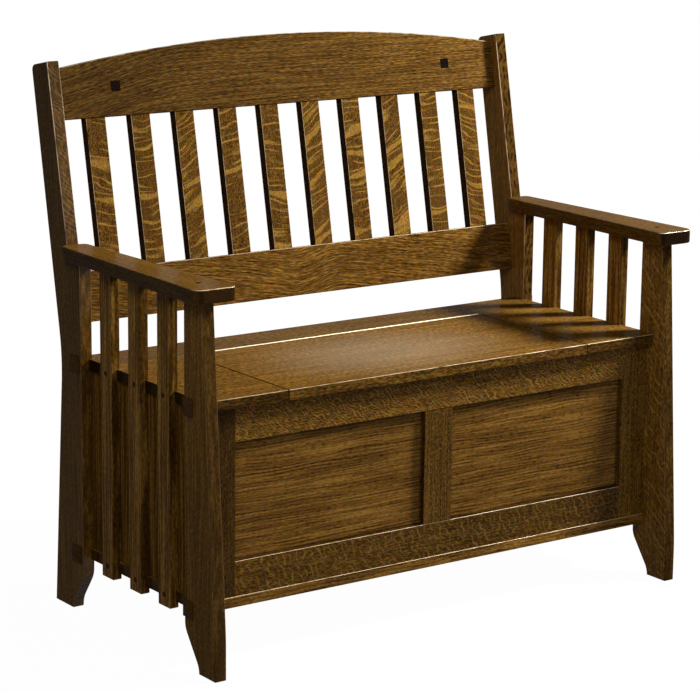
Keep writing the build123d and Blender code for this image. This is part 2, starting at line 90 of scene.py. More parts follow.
# %% A socket that can be used in sums
class Wire:
    """One output socket of a finish. Sums on it give new Wires."""

    def __init__(self, tree, socket):
        self.tree = tree
        self.socket = socket

    def add(self, kind, settings=None, sockets=None, out=0):
        """A node of that kind: settings first, then the sockets' values or links. Gives one output."""
        node = self.tree.nodes.new(kind)
        for name, value in (settings or {}).items():
            if name == "stops":
                ramp = node.color_ramp.elements
                while len(ramp) < len(value):
                    ramp.new(0.5)
                for stop, (place, colour) in zip(ramp, value):
                    stop.position = place
                    stop.color = (*colour, 1.0)
            else:
                setattr(node, name, value)
        for name, value in (sockets or {}).items():
            if isinstance(value, Wire):
                self.tree.links.new(value.socket, node.inputs[name])
            else:
                node.inputs[name].default_value = value
        return Wire(self.tree, node.outputs[out])

    def sum(self, operation, first, second):
        """A Math node on two values."""
        return self.add("ShaderNodeMath", {"operation": operation}, {0: first, 1: second})

    def __add__(self, other):
        return self.sum("ADD", self, other)

    __radd__ = __add__

    def __sub__(self, other):
        return self.sum("SUBTRACT", self, other)

    def __rsub__(self, other):
        return self.sum("SUBTRACT", other, self)

    def __mul__(self, other):
        return self.sum("MULTIPLY", self, other)

    __rmul__ = __mul__

    def __truediv__(self, other):
        return self.sum("DIVIDE", self, other)

    def __pow__(self, other):
        return self.sum("POWER", self, other)

    def at_least(self, other):
        """The larger of two values."""
        return self.sum("MAXIMUM", self, other)

    def at_most(self, other):
        """The smaller of two values."""
        return self.sum("MINIMUM", self, other)

    def size(self):
        """The value without its sign."""
        return self.sum("ABSOLUTE", self, 0.0)

    def fraction(self):
        """The value less the whole number below it."""
        return self.sum("FRACT", self, 0.0)

    def between(self, start, stop):
        """Start where this is 0, stop where it is 1: this * (stop - start) + start."""
        return self * (stop - start) + start

    def rise(self, low, high):
        """0 below low, 1 above high, and a smooth S between them."""
        settings = {"interpolation_type": "SMOOTHSTEP"}
        sockets = {"Value": self, "From Min": low, "From Max": high}
        return self.add("ShaderNodeMapRange", settings, sockets)

    def vector(self, operation, sockets, out=0):
        """A Vector Math node."""
        return self.add("ShaderNodeVectorMath", {"operation": operation}, sockets, out)

    def blend(self, share, under, over):
        """A Mix node on colours: under * (1 - share) + over * share."""
        return self.add("ShaderNodeMix", {"data_type": "RGBA"}, {0: share, 6: under, 7: over}, out=2)


# two outputs of a Texture Coordinate node
NORMAL, OBJECT_COORDINATES = 1, 3
print("what a Wire can do:", ", ".join(name for name in vars(Wire) if not name.startswith("_")))

# %% [markdown]
# ## The floor and the white behind it
#
# The picture is cut out on white. Making the lamps strong enough to burn the floor out would burn the
# oak too, so the white is only what the camera, and anything shiny, sees. To the light that bounces
# about, the floor is a dull grey and the surroundings are dim. The floor still takes a faint shadow near
# the settle, and further away it glows a little more, so that it ends in plain white.

# %% The floor and the surroundings
FLOOR_HALF = 40.0
FLOOR_GREY = 0.22
FLOOR_GLOW = 0.98
FLOOR_FADE = (0.5, 2.2)
FLOOR_TAKES_LIGHT = 0.04
AMBIENT = 0.05


def seen(wire):
    """1 where the camera looks, or where gloss or glass shows the surroundings, and 0 elsewhere."""
    path = wire.add("ShaderNodeLightPath")
    camera_ray, glossy_ray, clear_ray = (
        Wire(wire.tree, path.socket.node.outputs[name])
        for name in ("Is Camera Ray", "Is Glossy Ray", "Is Transmission Ray"))
    return camera_ray.at_least(glossy_ray).at_least(clear_ray)


def blank(name):
    """A new finish with no nodes but its output."""
    finish = bpy.data.materials.new(name)
    finish.use_nodes = True
    tree = finish.node_tree
    tree.nodes.clear()
    return finish, Wire(tree, None), tree.nodes.new("ShaderNodeOutputMaterial")


floor_finish, wire, out = blank("floor_white")
dull = wire.add("ShaderNodeBsdfDiffuse", sockets={"Color": (FLOOR_GREY,) * 3 + (1,)})
coordinates = wire.add("ShaderNodeTexCoord", out=OBJECT_COORDINATES)
away = wire.vector("LENGTH", {0: coordinates}, out=1)
strength = away.rise(*FLOOR_FADE).between(FLOOR_GLOW, 1)
glow = wire.add("ShaderNodeEmission", sockets={"Strength": strength})
takes = wire.add("ShaderNodeBsdfDiffuse", sockets={"Color": (FLOOR_TAKES_LIGHT,) * 3 + (1,)})
white = wire.add("ShaderNodeAddShader", sockets={0: glow, 1: takes})
both = wire.add("ShaderNodeMixShader", sockets={"Fac": seen(wire), 1: dull, 2: white})
wire.tree.links.new(both.socket, out.inputs["Surface"])

floor_mesh = bpy.data.meshes.new("floor")
corners = np.array([(-1, -1, 0), (1, -1, 0), (1, 1, 0), (-1, 1, 0)]) * FLOOR_HALF
floor_mesh.from_pydata(corners.tolist(), [], [(0, 1, 2, 3)])
floor_mesh.materials.append(floor_finish)
floor = bpy.data.objects.new("floor", floor_mesh)
bpy.context.scene.collection.objects.link(floor)
print("floor, m wide:", 2 * FLOOR_HALF)

world = bpy.data.worlds.new("surroundings")
world.use_nodes = True
wire = Wire(world.node_tree, None)
background = world.node_tree.nodes["Background"]
world.node_tree.links.new(seen(wire).between(AMBIENT, 1).socket, background.inputs["Strength"])
background.inputs["Color"].default_value = (1, 1, 1, 1)
bpy.context.scene.world = world
print("light from the surroundings, a share of white:", AMBIENT)

# %% [markdown]
# ## The lamps
#
# The shadows say where the light came from. The right arm's shadow lies on the seat, and bright stripes
# run between the shadows of the slats under it. They go left and back: the shadow of the arm's inner edge
# falls 0.97 of its height to the left and 0.44 of it back. The edges of that shadow are so soft that the
# lamp must be a disc about thirteen degrees wide, and the crest is darker on the left, so the lamp is not
# far away. Faces that look left are not black, so a weaker, wider lamp stands at the front left. Under the
# left arm the slats stay dark for about as far as the arm stands out, so that lamp is about as high as it
# is far to the side.

# %% The lamps
MIDDLE = (cad_box[0] + cad_box[1]) / 2
UNDER_RIGHT_ARM = Vector((0.40, -0.10, 0.55))


def lamp(name, aim, towards, away, wide, level):
    """A round lamp aimed at a place. A white board there, square to it, would look as bright as level says.

    The light that falls on a square metre is watts / (pi * away^2), and white sends back 1/pi of it.
    """
    towards = Vector(towards).normalized()
    data = bpy.data.lights.new(name, "AREA")
    data.shape = "DISK"
    data.size = wide
    data.energy = level * math.pi ** 2 * away ** 2
    thing = bpy.data.objects.new(name, data)
    turn = towards.to_track_quat("Z", "Y").to_matrix().to_4x4()
    thing.matrix_world = Matrix.Translation(aim + towards * away) @ turn
    bpy.context.scene.collection.objects.link(thing)
    print(name, "watts:", round(data.energy))


lamp("key_lamp", UNDER_RIGHT_ARM, (0.97, -0.44, 1.0), away=3.2, wide=0.72, level=1.78)
lamp("left_lamp", MIDDLE, (-1.0, -1.0, 1.0), away=4.0, wide=1.5, level=0.17)

# %% [markdown]
# ## Colours of oak
#
# Fuming with ammonia turns oak brown to well below its surface, and dark wax stays in the pores. One
# colour would look like plastic, and a picture of wood would repeat itself on every board. So the oak is
# worked out: a tone from 0 to 1 picks a colour between dark and light, and rays, pores, worn corners
# with painted highlights and a painted sheen on the lid are laid over it, each in its own colour.

# %% Colours of oak
DARK_OAK = (0.042, 0.0150, 0.0025)
MID_OAK = (0.190, 0.089, 0.0145)
LIGHT_OAK = (0.480, 0.250, 0.0480)
RAY_GOLD = (0.62, 0.335, 0.058)
PORE_DARK = (0.026, 0.0095, 0.0020)
# pale of the corners: partly rubbed wear, partly a painted highlight where the lamp glints
WORN_AND_GLINT_EDGE = (0.90, 0.68, 0.42)
# a painted sheen, laid on the middle of the lid
PAINTED_SHEEN = (1.0, 0.85, 0.62)
TONES = [(0.0, DARK_OAK), (0.5, MID_OAK), (1.0, LIGHT_OAK)]
print("light oak is", round(LIGHT_OAK[1] / DARK_OAK[1]), "times as bright as dark oak")

# %% [markdown]
# ## How a board was cut
#
# The same tree gives plain boards and figured ones. A board sawn towards the heart shows its rays as
# golden flakes, one sawn off the side shows long lines, and most lie between the two. The settle uses all
# of them, so each way of cutting gets a row of measures. Two finishes with sliders for everything could
# do this too, but a table can be read and set side by side with the real boards.

# %% The cuts
PLAIN = dict(rows=None, flakes=None, bands=0.0, fibres=1.0)
# tone: 0 is dark and 1 is light. clouds: how much the tone drifts. fibres: how much the hue of the single
# fibres differs. lines, grit and pores: length, width, strength. rows, which are dark lines at even
# distances: apart, thick, strength. flakes: apart, thick, reach across the board, lean, strength. bands:
# strength of the broad pale places between flakes. Lengths are in metres.
CUTS = {
    "rail": dict(PLAIN, tone=0.48, clouds=0.36, fibres=0.8, lines=(0.12, 0.0022, 0.32),
                 grit=(0.012, 0.0012, 0.45), pores=(0.013, 0.0012, 0.45), rows=(0.0056, 0.0020, 0.17)),
    "slat": dict(PLAIN, tone=0.33, clouds=0.22, bands=0.62, lines=(0.10, 0.0060, 0.08),
                 grit=(0.0028, 0.0017, 0.45), pores=(0.004, 0.0018, 0.35),
                 flakes=(0.0130, 0.0023, 0.070, 0.0, 0.80)),
    "top_fleck": dict(PLAIN, tone=0.44, clouds=0.25, lines=(0.10, 0.0030, 0.20),
                      grit=(0.008, 0.0015, 0.50), pores=(0.009, 0.0014, 0.50),
                      flakes=(0.0080, 0.0019, 0.018, 1.0, 0.56)),
    "low_fleck": dict(PLAIN, tone=0.44, clouds=0.30, lines=(0.10, 0.0030, 0.20),
                      grit=(0.006, 0.0015, 0.45), pores=(0.008, 0.0014, 0.45),
                      flakes=(0.0130, 0.0024, 0.020, 0.45, 0.50)),
    "stile": dict(PLAIN, tone=0.46, clouds=0.25, lines=(0.10, 0.0022, 0.30),
                  grit=(0.007, 0.0014, 0.60), pores=(0.007, 0.0014, 0.50),
                  flakes=(0.0090, 0.0020, 0.012, 0.6, 0.32)),
    "panel": dict(PLAIN, tone=0.53, clouds=0.40, fibres=0.6, lines=(0.20, 0.0040, 0.30),
                  grit=(0.011, 0.0012, 0.48), pores=(0.011, 0.0012, 0.55), rows=(0.0056, 0.0022, 0.34)),
    "seat": dict(PLAIN, tone=0.50, clouds=0.20, lines=(0.18, 0.0022, 0.25),
                 grit=(0.009, 0.0018, 0.42), pores=(0.010, 0.0018, 0.40)),
    "arm": dict(PLAIN, tone=0.50, clouds=0.20, fibres=0.5, lines=(0.20, 0.0030, 0.15),
                grit=(0.010, 0.0016, 0.22), pores=(0.012, 0.0016, 0.22)),
    "post": dict(PLAIN, tone=0.46, clouds=0.35, fibres=0.6, lines=(0.20, 0.0030, 0.50),
                 grit=(0.008, 0.0016, 0.25), pores=(0.012, 0.0016, 0.35)),
    "flame": dict(PLAIN, tone=0.45, clouds=0.30, fibres=0.8, lines=(0.12, 0.0030, 0.25),
                  grit=(0.006, 0.0015, 0.40), pores=(0.009, 0.0015, 0.40),
                  flakes=(0.0160, 0.0034, 0.030, 0.9, 0.45)),
    "leg": dict(PLAIN, tone=0.46, clouds=0.30, fibres=0.6, lines=(0.16, 0.0026, 0.30),
                grit=(0.006, 0.0015, 0.22), pores=(0.010, 0.0015, 0.30),
                flakes=(0.0110, 0.0018, 0.016, 0.7, 0.15)),
}
print("cuts:", ", ".join(CUTS))

# %% [markdown]
# ## A board's own axes
#
# Grain runs along a board whichever way the board lies on the settle, so every pattern is worked out in
# the board's own axes: x along the grain, z out of the figured face, and y across. A Mapping node turns
# the object's coordinates into those and puts their start at the middle of the board. A random step of
# several metres then gives each board its own part of the endless noise.

# %% A board's own axes
RIGHT, BACK, UP = (1, 0, 0), (0, 1, 0), (0, 0, 1)
FRONT, LEFT = (0, -1, 0), (-1, 0, 0)
SHIFT = 9.0
NOISE_ROUGHNESS = 0.55


def lie(along, face):
    """The Euler angles of a board whose grain runs along one way and whose face looks another way."""
    x = Vector(along).normalized()
    z = (Vector(face) - x * Vector(face).dot(x)).normalized()
    return Matrix((x, z.cross(x), z)).transposed().to_euler()


class Board:
    """A board's axes and its surface, as Wires.

    centred is the place seen from the middle of the board, place is the same moved by a random step,
    normal is the way the surface looks, to_face is 1 on the figured face and -1 on the one behind it,
    flat is 1 on both and 0 on the narrow sides, and towards_end goes from 0 to 1 along the board.
    """

    def __init__(self, name, along, face, cut, seed):
        self.finish, self.wire, self.out = blank("oak_" + name)
        self.along, self.face, self.cut = Vector(along).normalized(), Vector(face), CUTS[cut]
        self.low, self.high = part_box(name)
        self.chance = np.random.default_rng(seed)
        turn = lie(along, face)
        self.centred = self.mapped(self.wire.add("ShaderNodeTexCoord", out=OBJECT_COORDINATES),
                                   Location=(self.low + self.high) / 2, Rotation=turn)
        shift = tuple(float(step) for step in self.chance.uniform(-SHIFT, SHIFT, 3))
        self.place = self.wire.vector("ADD", {0: self.centred, 1: shift})
        self.normal = self.wire.add("ShaderNodeTexCoord", out=NORMAL)
        self.to_face = self.part(self.mapped(self.normal, Rotation=turn), 2)
        self.flat = self.to_face.size()
        self.towards_end = self.part(self.centred, 0) * (0.5 / self.half(self.along)) + 0.5

    def mapped(self, vector, **sockets):
        """A vector as it is seen from a place that is moved, turned or scaled."""
        return self.wire.add("ShaderNodeMapping", {"vector_type": "TEXTURE"}, {"Vector": vector, **sockets})

    def half(self, way):
        """Half of the board's size along a way."""
        return abs((self.high - self.low).dot(way)) / 2

    def part(self, vector, which):
        """One part of a vector."""
        return self.wire.add("ShaderNodeSeparateXYZ", sockets={0: vector}, out=which)

    def moved(self, along_by=0.0, across_by=0.0):
        """The place, moved along and across the board by amounts that may vary."""
        by = self.wire.add("ShaderNodeCombineXYZ", sockets={"X": along_by, "Y": across_by})
        return self.wire.vector("ADD", {0: self.place, 1: by})

    def noise(self, stretch, detail=0.0, at=None, out=0):
        """A noise whose features are about as long as stretch says, in metres. Output 1 is a colour."""
        fine = self.wire.vector("DIVIDE", {0: self.place if at is None else at, 1: stretch})
        sockets = {"Vector": fine, "Scale": 1.0, "Detail": detail, "Roughness": NOISE_ROUGHNESS}
        return self.wire.add("ShaderNodeTexNoise", sockets=sockets, out=out)


print("turn of a front rail, degrees:", [round(math.degrees(angle)) for angle in lie(RIGHT, FRONT)])

# %% [markdown]
# ## Growth lines, grit and pores
#
# A tree adds a ring each year. On a board the rings are long soft lines, the fibres between them are a
# fine grit, and the pores are short dark dashes. All three are the same thing at different lengths: a
# noise stretched along the grain. A noise hovers about one half, so each has a narrow range that is spread
# over the whole way from 0 to 1. The lines never run quite straight, so the place sways first, and where
# the rings of a rail climb, it climbs with them.

# %% Growth lines, grit and pores
SWAY_STRETCH, SWAY = (0.30, 0.055, 0.055), 0.014
# for each layer: its depth as a multiple of its width, the noise's detail, and the range that is spread
GRAIN = {
    "lines": (3, 1.5, (0.36, 0.64)),
    "grit": (1.5, 0.5, (0.32, 0.68)),
    "pores": (1.5, 0.5, (0.55, 0.68)),
}


def grain(board, climbs):
    """Growth lines, grit and pores, each from 0 to 1.

    The place sways across the board by SWAY * (noise - 1/2), less height * rise(along, start, stop) for
    each climb, and each layer is the noise at (place / its length, width and depth), spread by its range.
    """
    across_by = (board.noise(SWAY_STRETCH, 1.0) - 0.5) * SWAY
    for start, stop, height in climbs:
        across_by = across_by - board.part(board.centred, 0).rise(start, stop) * height
    board.swayed = board.moved(across_by=across_by)
    layers = []
    for layer, (depth, detail, spread) in GRAIN.items():
        length, width = board.cut[layer][:2]
        layers.append(board.noise((length, width, width * depth), detail, at=board.swayed).rise(*spread))
    return layers


print("pores on a rail, mm long:", CUTS["rail"]["pores"][0] * 1000)

# %% [markdown]
# ## Ray flakes
#
# Rays are thin ribbons that run from the heart of the tree to the bark. A saw that follows them lays them
# open as flakes, golden and shinier than the wood, in leaning rows that curve and break off. The rows come
# from the fraction of a distance: divided by the space between rows, its fraction grows from 0 to 1 once
# for every row. A bend and a noise are added to the distance first, and another noise breaks the rows into
# flakes. On the back slats the rays lie almost in the face, so that broad pale bands join the flakes.

# %% Ray flakes
WAVE_STRETCH, WANDER = (0.030, 0.05), 0.028
BEND, BEND_SHARES = 9, (0.1, 0.7)
UNEVEN_STRETCH, UNEVEN = (0.025, 0.3, 0.3), 0.016
GAP_SHARES, GAP_DEPTH, GAP_SPREAD = (0.8, 0.6), 0.05, (0.36, 0.60)
BAND_STRETCH, BAND_SPREAD = (0.016, 0.120, 0.05), (0.57, 0.68)
GRIT_IN_BANDS = 0.4


def waves(board, reach):
    """A noise that makes flakes and streaks wander along the board. It changes over reach across it."""
    length, depth = WAVE_STRETCH
    return board.noise((length, reach, depth), 1.0)


def stripes(distance, apart, thick):
    """1 in the middle of even stripes, and 0 from thick away.

    That is 1 - rise(|fraction of (distance / apart) - 1/2|, from 0, to thick / apart).
    """
    return 1 - ((distance / apart).fraction() - 0.5).size().rise(0.0, thick / apart)


def rays(board, lean, grit):
    """How much of the ray gold shows, from 0 to 1, on the figured face.

    Along the board the place moves by across * lean - across^2 * bend + WANDER * (waves - 1/2). The
    stripes of that, times a noise for the gaps, are the flakes, or the bands where these are more.
    """
    if not board.cut["flakes"]:
        return board.flat * 0.0
    apart, thick, reach, own_lean, strength = board.cut["flakes"]
    across = board.part(board.centred, 1)
    bend = BEND * float(board.chance.uniform(*BEND_SHARES))
    curve = across * (own_lean + lean) - across * across * bend
    bent = board.moved(along_by=curve + (waves(board, reach) - 0.5) * WANDER)
    distance = board.part(bent, 0) + board.noise(UNEVEN_STRETCH, at=bent) * UNEVEN
    gap_stretch = (apart * GAP_SHARES[0], reach * GAP_SHARES[1], GAP_DEPTH)
    gaps = board.noise(gap_stretch, 0.5, at=bent).rise(*GAP_SPREAD)
    flakes = stripes(distance, apart, thick) * gaps * strength
    if board.cut["bands"]:
        bands = board.noise(BAND_STRETCH, 0.5, at=bent).rise(*BAND_SPREAD) * board.cut["bands"]
        flakes = flakes.at_least(bands) * grit.between(1 - GRIT_IN_BANDS, 1)
    return board.flat * flakes


print("flakes, mm apart:", {name: cut["flakes"][0] * 1000 for name, cut in CUTS.items() if cut["flakes"]})

# %% [markdown]
# ## The tone of the wood
#
# The layers are added up to one tone, and that picks the colour. Clouds a hand wide make the tone drift.
# Rails and panels also show thin dark rows at almost even distances, where the saw cut the rings at a
# slant, and these fade in and out along the board.

# %% The tone of the wood
CLOUD_STRETCH = (0.22, 0.05, 0.05)
ROW_SLANT = 0.8
ROW_WANDER_STRETCH, ROW_WANDER = (0.12, 0.03, 0.03), 0.012
ROW_FADE_STRETCH, ROW_FADE = (0.07, 0.012, 0.012), (0.35, 0.60)


def tone_of(board, lines, grit):
    """The cut's tone + the strength of each layer * (layer - 1/2) - the rows."""
    tone = board.cut["tone"] + (lines - 0.5) * board.cut["lines"][2] + (grit - 0.5) * board.cut["grit"][2]
    tone = tone + (board.noise(CLOUD_STRETCH, 1.5) - 0.5) * board.cut["clouds"]
    if board.cut["rows"]:
        apart, thick, strength = board.cut["rows"]
        distance = (board.part(board.swayed, 1) + board.part(board.swayed, 2) * ROW_SLANT
                    + board.noise(ROW_WANDER_STRETCH) * ROW_WANDER)
        fade = board.noise(ROW_FADE_STRETCH, 0.5, at=board.swayed).rise(*ROW_FADE)
        tone = tone - stripes(distance, apart, thick) * fade * strength
    return tone


print("rows on a panel, mm apart:", CUTS["panel"]["rows"][0] * 1000)

# %% [markdown]
# ## The depth of colour
#
# A board's depth of colour differs from board to board and from end to end, partly as the wood does and
# partly as painted shade and painted light where the lamps fall unevenly: the crest is darker to its left
# end, the left stile darker and the right stile lighter. The narrow sides took the stain differently from
# the face, and on the back slats they are painted darker still, as shade between the slats. A painted
# shade darkens the rim of a panel, where it goes into its grooves. These change slowly, so they are one
# factor on the finished colour. The single fibres differ in hue as well, mostly in how yellow they are,
# and that is a coloured noise which multiplies it.

# %% The depth of colour
FACE_ENDS = (0.5, 0.9)
# the width of a painted shade along the rim of a sunk panel, and how much it darkens
RIM, PAINTED_RIM_SHADE = 0.007, 0.5
FIBRE_STRETCH = (0.007, 0.0018, 0.003)
FIBRE_SPREAD, FIBRE_LOWEST = np.array((0.9, 0.9, 3.2)), (0.2, 0.2, 0.2)


def depth_of(board, looks_front, tint, edge, sunk):
    """tint along the board, times edge on the narrow sides, less the painted shade on the rim of a sunk
    panel.
    """
    narrow = looks_front.between(edge[1], edge[0])
    depth = board.towards_end.between(*tint) * board.flat.rise(*FACE_ENDS).between(narrow, 1)
    if sunk:
        halves = board.half(board.along), board.half(board.along.cross(board.face))
        ends, sides = (board.part(board.centred, axis).size().rise(half - sunk - RIM, half - sunk - RIM / 4)
                       for axis, half in enumerate(halves))
        # painted shade along the rim of a sunk panel
        depth = depth * (1 - ends.at_least(sides) * PAINTED_RIM_SHADE)
    return depth


def fibred(board, wood):
    """The colour times 1 + spread * (coloured noise - 1/2), which is never less than a fifth."""
    spread = FIBRE_SPREAD * board.cut["fibres"]
    colours = board.noise(FIBRE_STRETCH, at=board.swayed, out=1)
    hues = board.wire.vector("MULTIPLY_ADD", {0: colours, 1: spread, 2: 1 - spread / 2})
    hues = board.wire.vector("MAXIMUM", {0: hues, 1: FIBRE_LOWEST})
    return board.wire.vector("MULTIPLY", {0: wood, 1: hues})


print("single fibres differ, in red, green and blue, by:", FIBRE_SPREAD.tolist())

# %% [markdown]
# ## Streaks
#
# On the front sides of the two posts the growth rings come out as slanting strokes: thin pale ones on the
# left post, broad dark ones on the right post, and only above a certain height. They are the same stripes
# as the flakes, laid over the narrow sides.

# %% Streaks
STREAK_WANDER = 3
BREAK_STRETCH, BREAKS = (0.012, 0.03, 0.03), (0.3, 0.6)
STREAKS_BEGIN_OVER = 0.1


def streaked(board, wood, apart, thick, slope, strength, start, colour, reach):
    """Stripes of along - slope * z, laid over the wood on the narrow sides from start on."""
    wander = (waves(board, reach) - 0.5) * apart * STREAK_WANDER
    distance = board.part(board.centred, 0) - board.part(board.centred, 2) * slope + wander
    begun = board.towards_end.rise(start, start + STREAKS_BEGIN_OVER)
    breaks = board.noise(BREAK_STRETCH).rise(*BREAKS)
    share = stripes(distance, apart, thick) * breaks * (1 - board.flat) * begun * strength
    return board.wire.blend(share, wood, (*colour, 1))


print("strokes wander by up to", STREAK_WANDER / 2, "times their distance")

# %% [markdown]
# ## Worn corners, painted highlights and a painted sheen
#
# Hands and dusters have rubbed the corners of the boards pale, and a long corner that faces the lamp
# shines. The pale is partly that rubbing and partly a painted highlight: it is strongest on corners that
# look up and to the front, where the lamp glints, and it is left off corners that look down. The frame's
# rounded corners are where the surface looks neither straight out of the face nor straight out of the
# side, so the normal finds them. The pale paint also makes the corner a little metallic, because a
# mirror-like skin shows the white surroundings as waxed oak does. In the middle of the lid is a soft
# pale spot with more wax: a painted sheen.

# %% Worn corners, painted highlights and a painted sheen
CORNER_SPREAD, TOPS_ONLY = (0.30, 0.85), (-0.4, -0.1)
WEAR_AND_GLINT_STRETCH, WEAR_AND_GLINT_SPREAD = (0.03, 0.03, 0.03), (0.15, 0.55)
# shares of the corners' pale: to the front partly rubbing and partly painted highlight, everywhere rubbing,
# where light is caught a painted highlight
PALE_TO_FRONT, PALE_EVERYWHERE, PALE_CAUGHT, PALEST = 1.2, 0.1, 0.9, 0.95
SPOT_SPREAD = (0.1, 1.0)


def wear_and_glint(board, arris):
    """How a corner is marked, how much light it catches, how pale it is painted, and how marked this end is.

    A corner is 4 * flat^2 * (1 - flat^2), which is 1 halfway between face and side. caught is 1 where
    the corner looks up and to the front, and pale is the sum of three shares: on the parts that look to
    the front, partly rubbing and partly a painted highlight; on every part, rubbing; and on what is
    caught, a painted highlight.
    """
    up, front = board.part(board.normal, 2), board.part(board.normal, 1) * -1
    flat_squared = board.flat * board.flat
    corner = flat_squared * (1 - flat_squared) * 4
    corner = corner.rise(*CORNER_SPREAD) * up.rise(*TOPS_ONLY)
    worn_and_glint_corners = corner * board.noise(WEAR_AND_GLINT_STRETCH, 1.0).rise(*WEAR_AND_GLINT_SPREAD)
    # corners looking up and to the front, where the lamp glints, get a painted highlight
    caught = (up * front * 2).at_least(0.0)
    here = board.towards_end.between(*arris).at_least(0.0)
    pale = front.at_least(0.0) * here * PALE_TO_FRONT + here * PALE_EVERYWHERE + caught * PALE_CAUGHT
    return worn_and_glint_corners, caught, pale.at_most(PALEST), here


# the spot where the lid gets more wax and a painted sheen
def wax_and_sheen_spot(board, middle, size):
    """1 in the middle of an oval on the upper side, 0 at its rim: 1 - rise(distance / size)."""
    spot = board.mapped(board.centred, Location=(*middle, 0), Scale=(*size, 1))
    near = 1 - board.wire.vector("LENGTH", {0: spot}, out=1).rise(*SPOT_SPREAD)
    return near * board.to_face.at_least(0.0)


print("palest a corner gets:", PALEST)

# %% [markdown]
# ## The whole finish
#
# Now the layers come together. The skin is dull wood under a thin coat of wax: the coat gives the shine,
# and the wood itself has none, besides the painted highlights on its corners and the painted sheen on the
# lid. Pores are rough and sunk, flakes are smooth and stand a hair proud, and a bump of less than half a
# millimetre shows both.

# %% The whole finish
END_SPREAD, END_DARKENS = (0.5, 0.95), 0.75
ROUGH, PORES_ROUGH, FLAKES_SMOOTH = 0.34, 0.14, 0.05
WAX_ON_CORNERS, BURNISH = 0.4, 0.40
WAX_ROUGHNESS, WAX_IOR = 0.2, 1.5
BUMP_STRENGTH, BUMP_HEIGHT = 0.3, 0.0004
LINES_RISE, PORES_SINK, FLAKES_RISE = 0.3, 0.8, 0.15


def oak(name, along, face, cut, seed, tint=(1.0, 1.0), edge=(0.5, 0.5), arris=(0.05, 0.05), gloss=0.03,
        sheen=0.03, shine=0.0, polish=None, climbs=(), lean=0.0, streaks=None, sunk=0.0):
    """An oak finish for one board.

    tint is the board's depth of colour at its two ends, edge is that of its narrow sides, those that
    look to the front and the others, and arris tells how pale and shiny its corners are at its two ends,
    pale partly from rubbing and partly as a painted highlight. gloss is the wax on the whole board, sheen
    is more of it on the face, and shine is more on what looks to the front. polish is a spot with more
    wax and a painted sheen: its middle, its size, its wax and how much painted sheen it has.
    climbs are the stretches along the board where the growth lines climb, lean is the flakes' slope,
    and streaks are the strokes across the narrow sides. sunk is how far a panel goes into its grooves.
    """
    board = Board(name, along, face, cut, seed)
    wire = board.wire
    lines, grit, pores = grain(board, climbs)
    flakes = rays(board, lean, grit)
    wood = wire.add("ShaderNodeValToRGB", {"stops": TONES}, {"Fac": tone_of(board, lines, grit)})
    wood = wire.blend(flakes, wood, (*RAY_GOLD, 1))
    if streaks:
        wood = streaked(board, wood, **streaks)
    wood = wire.blend(pores * (1 - flakes) * board.cut["pores"][2], wood, (*PORE_DARK, 1))
    ends = wire.vector("DOT_PRODUCT", {0: board.normal, 1: board.along}, out=1).size().rise(*END_SPREAD)
    wood = wire.blend(ends * END_DARKENS, wood, (*PORE_DARK, 1))
    looks_front = board.part(board.normal, 1) ** 2
    depth = depth_of(board, looks_front, tint, edge, sunk)
    wood = wire.vector("SCALE", {0: fibred(board, wood), "Scale": depth})
    worn_and_glint_corners, caught, pale, here = wear_and_glint(board, arris)
    # pale corners: rubbed wear, with a painted highlight where they look up and to the front
    wood = wire.blend(worn_and_glint_corners * pale, wood, (*WORN_AND_GLINT_EDGE, 1))
    coat = worn_and_glint_corners * caught * WAX_ON_CORNERS + board.flat * sheen + looks_front * shine + gloss
    if polish:
        middle, size, wax_there, sheen_share = polish
        near = wax_and_sheen_spot(board, middle, size)
        coat = coat + near * wax_there
        # painted sheen: the middle of the lid is painted paler
        wood = wire.blend(near * sheen_share, wood, (*PAINTED_SHEEN, 1))
    height = lines * LINES_RISE + grit * LINES_RISE - pores * PORES_SINK + flakes * FLAKES_RISE
    bump = wire.add("ShaderNodeBump",
                    sockets={"Strength": BUMP_STRENGTH, "Distance": BUMP_HEIGHT, "Height": height})
    skin = wire.add("ShaderNodeBsdfPrincipled", sockets={
        "Base Color": wood, "Roughness": ROUGH + pores * PORES_ROUGH - flakes * FLAKES_SMOOTH,
        "Metallic": worn_and_glint_corners * pale * here * BURNISH, "Specular IOR Level": 0.0, "Coat Weight": coat,
        "Coat Roughness": WAX_ROUGHNESS, "Coat IOR": WAX_IOR, "Normal": bump})
    wire.tree.links.new(skin.socket, board.out.inputs["Surface"])
    return board.finish


print("bump, mm high:", BUMP_HEIGHT * 1000)

# %% [markdown]
# ## Which board is cut how
#
# Every board gets its own finish, because no two boards are alike: the grain follows the board's length,
# the figured face looks out, and a seed of its own moves the pattern. First come the two rails of the back,
# whose growth lines climb, and the boards of the chest. Some of them are darker at one end.

